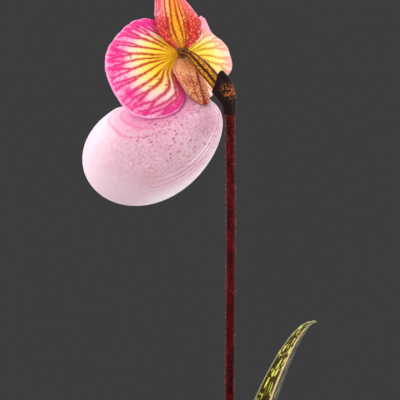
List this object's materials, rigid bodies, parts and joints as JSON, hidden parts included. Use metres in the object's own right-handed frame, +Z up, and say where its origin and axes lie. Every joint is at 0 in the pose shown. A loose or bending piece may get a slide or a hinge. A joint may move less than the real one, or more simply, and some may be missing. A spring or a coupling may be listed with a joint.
{
  "type": "potted slipper orchid",
  "caption": "Potted slipper orchid: one tall scape with a pink pouched flower above a fan of strap leaves, in a plain clay pot of bark.",
  "frame": {"origin": "centre of the pot's underside", "axes": "+Z up along the pot's axis; the flower faces -Y, with its own left petal towards +X"},
  "size_m": [0.0932, 0.1851, 0.2778],
  "materials": {
    "clay": "unglazed terracotta",
    "bark": "coarse bark mix",
    "leaf": "waxy, mottled",
    "stem": "dark and finely hairy",
    "ovary": "ribbed, finely hairy",
    "bract": "dark, mottled",
    "sepal": "soft, veined",
    "petal": "soft, veined",
    "lip": "soft, pale pink with fine dots",
    "column": "soft and waxy"
  },
  "bodies": {
    "root": {"pot": "clay", "potting_mix": "bark", "leaf_young": "leaf", "leaf_left": "leaf", "leaf_right": "leaf", "leaf_front": "leaf", "leaf_back": "leaf", "scape": "stem", "ovary": "ovary", "bract": "bract", "lip": "lip", "petal_left": "petal", "petal_right": "petal", "dorsal_sepal": "sepal", "synsepal": "sepal", "column": "column", "staminode": "column"}
  },
  "joints": []
}
